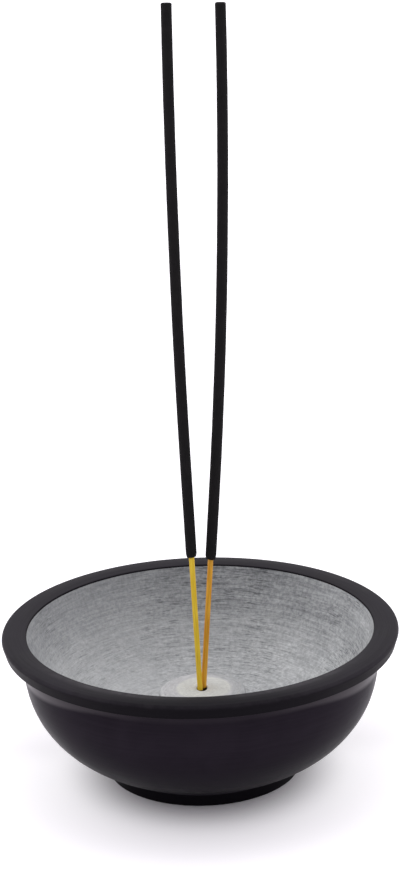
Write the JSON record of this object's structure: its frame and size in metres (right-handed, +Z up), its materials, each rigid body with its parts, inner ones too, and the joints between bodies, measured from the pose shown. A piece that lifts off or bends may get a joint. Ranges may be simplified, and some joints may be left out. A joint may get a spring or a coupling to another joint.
{
  "type": "incense stick holder",
  "caption": "Turned soapstone bowl with a broad dark lip and a pale boss drilled to hold incense sticks upright, with loose sticks standing in it.",
  "frame": {"origin": "middle of the foot, on the surface that the bowl stands on", "axes": "+Z up along the bowl's axis; -Y towards the viewer of the picture; the sticks lean apart along X"},
  "size_m": [0.1, 0.1, 0.1944],
  "materials": {
    "dark_stone": "burnished, satin",
    "pale_stone": "scraped, matt",
    "yellow_bamboo": "dyed, matt",
    "orange_bamboo": "dyed, matt",
    "incense_paste": "rolled charcoal and wood powder, matt"
  },
  "bodies": {
    "holder": {"bowl": "dark_stone", "centre_boss": "pale_stone"},
    "left_stick": {"left_bamboo": "yellow_bamboo", "left_paste": "incense_paste"},
    "right_stick": {"right_bamboo": "orange_bamboo", "right_paste": "incense_paste"}
  },
  "joints": [
    {"name": "lift_left_stick", "type": "slide", "parent": "holder", "child": "left_stick", "axis": [-0.0297, 0, 0.9996], "range_m": [0, 0.05]},
    {"name": "lift_right_stick", "type": "slide", "parent": "holder", "child": "right_stick", "axis": [0.0795, 0, 0.9968], "range_m": [0, 0.05]}
  ]
}
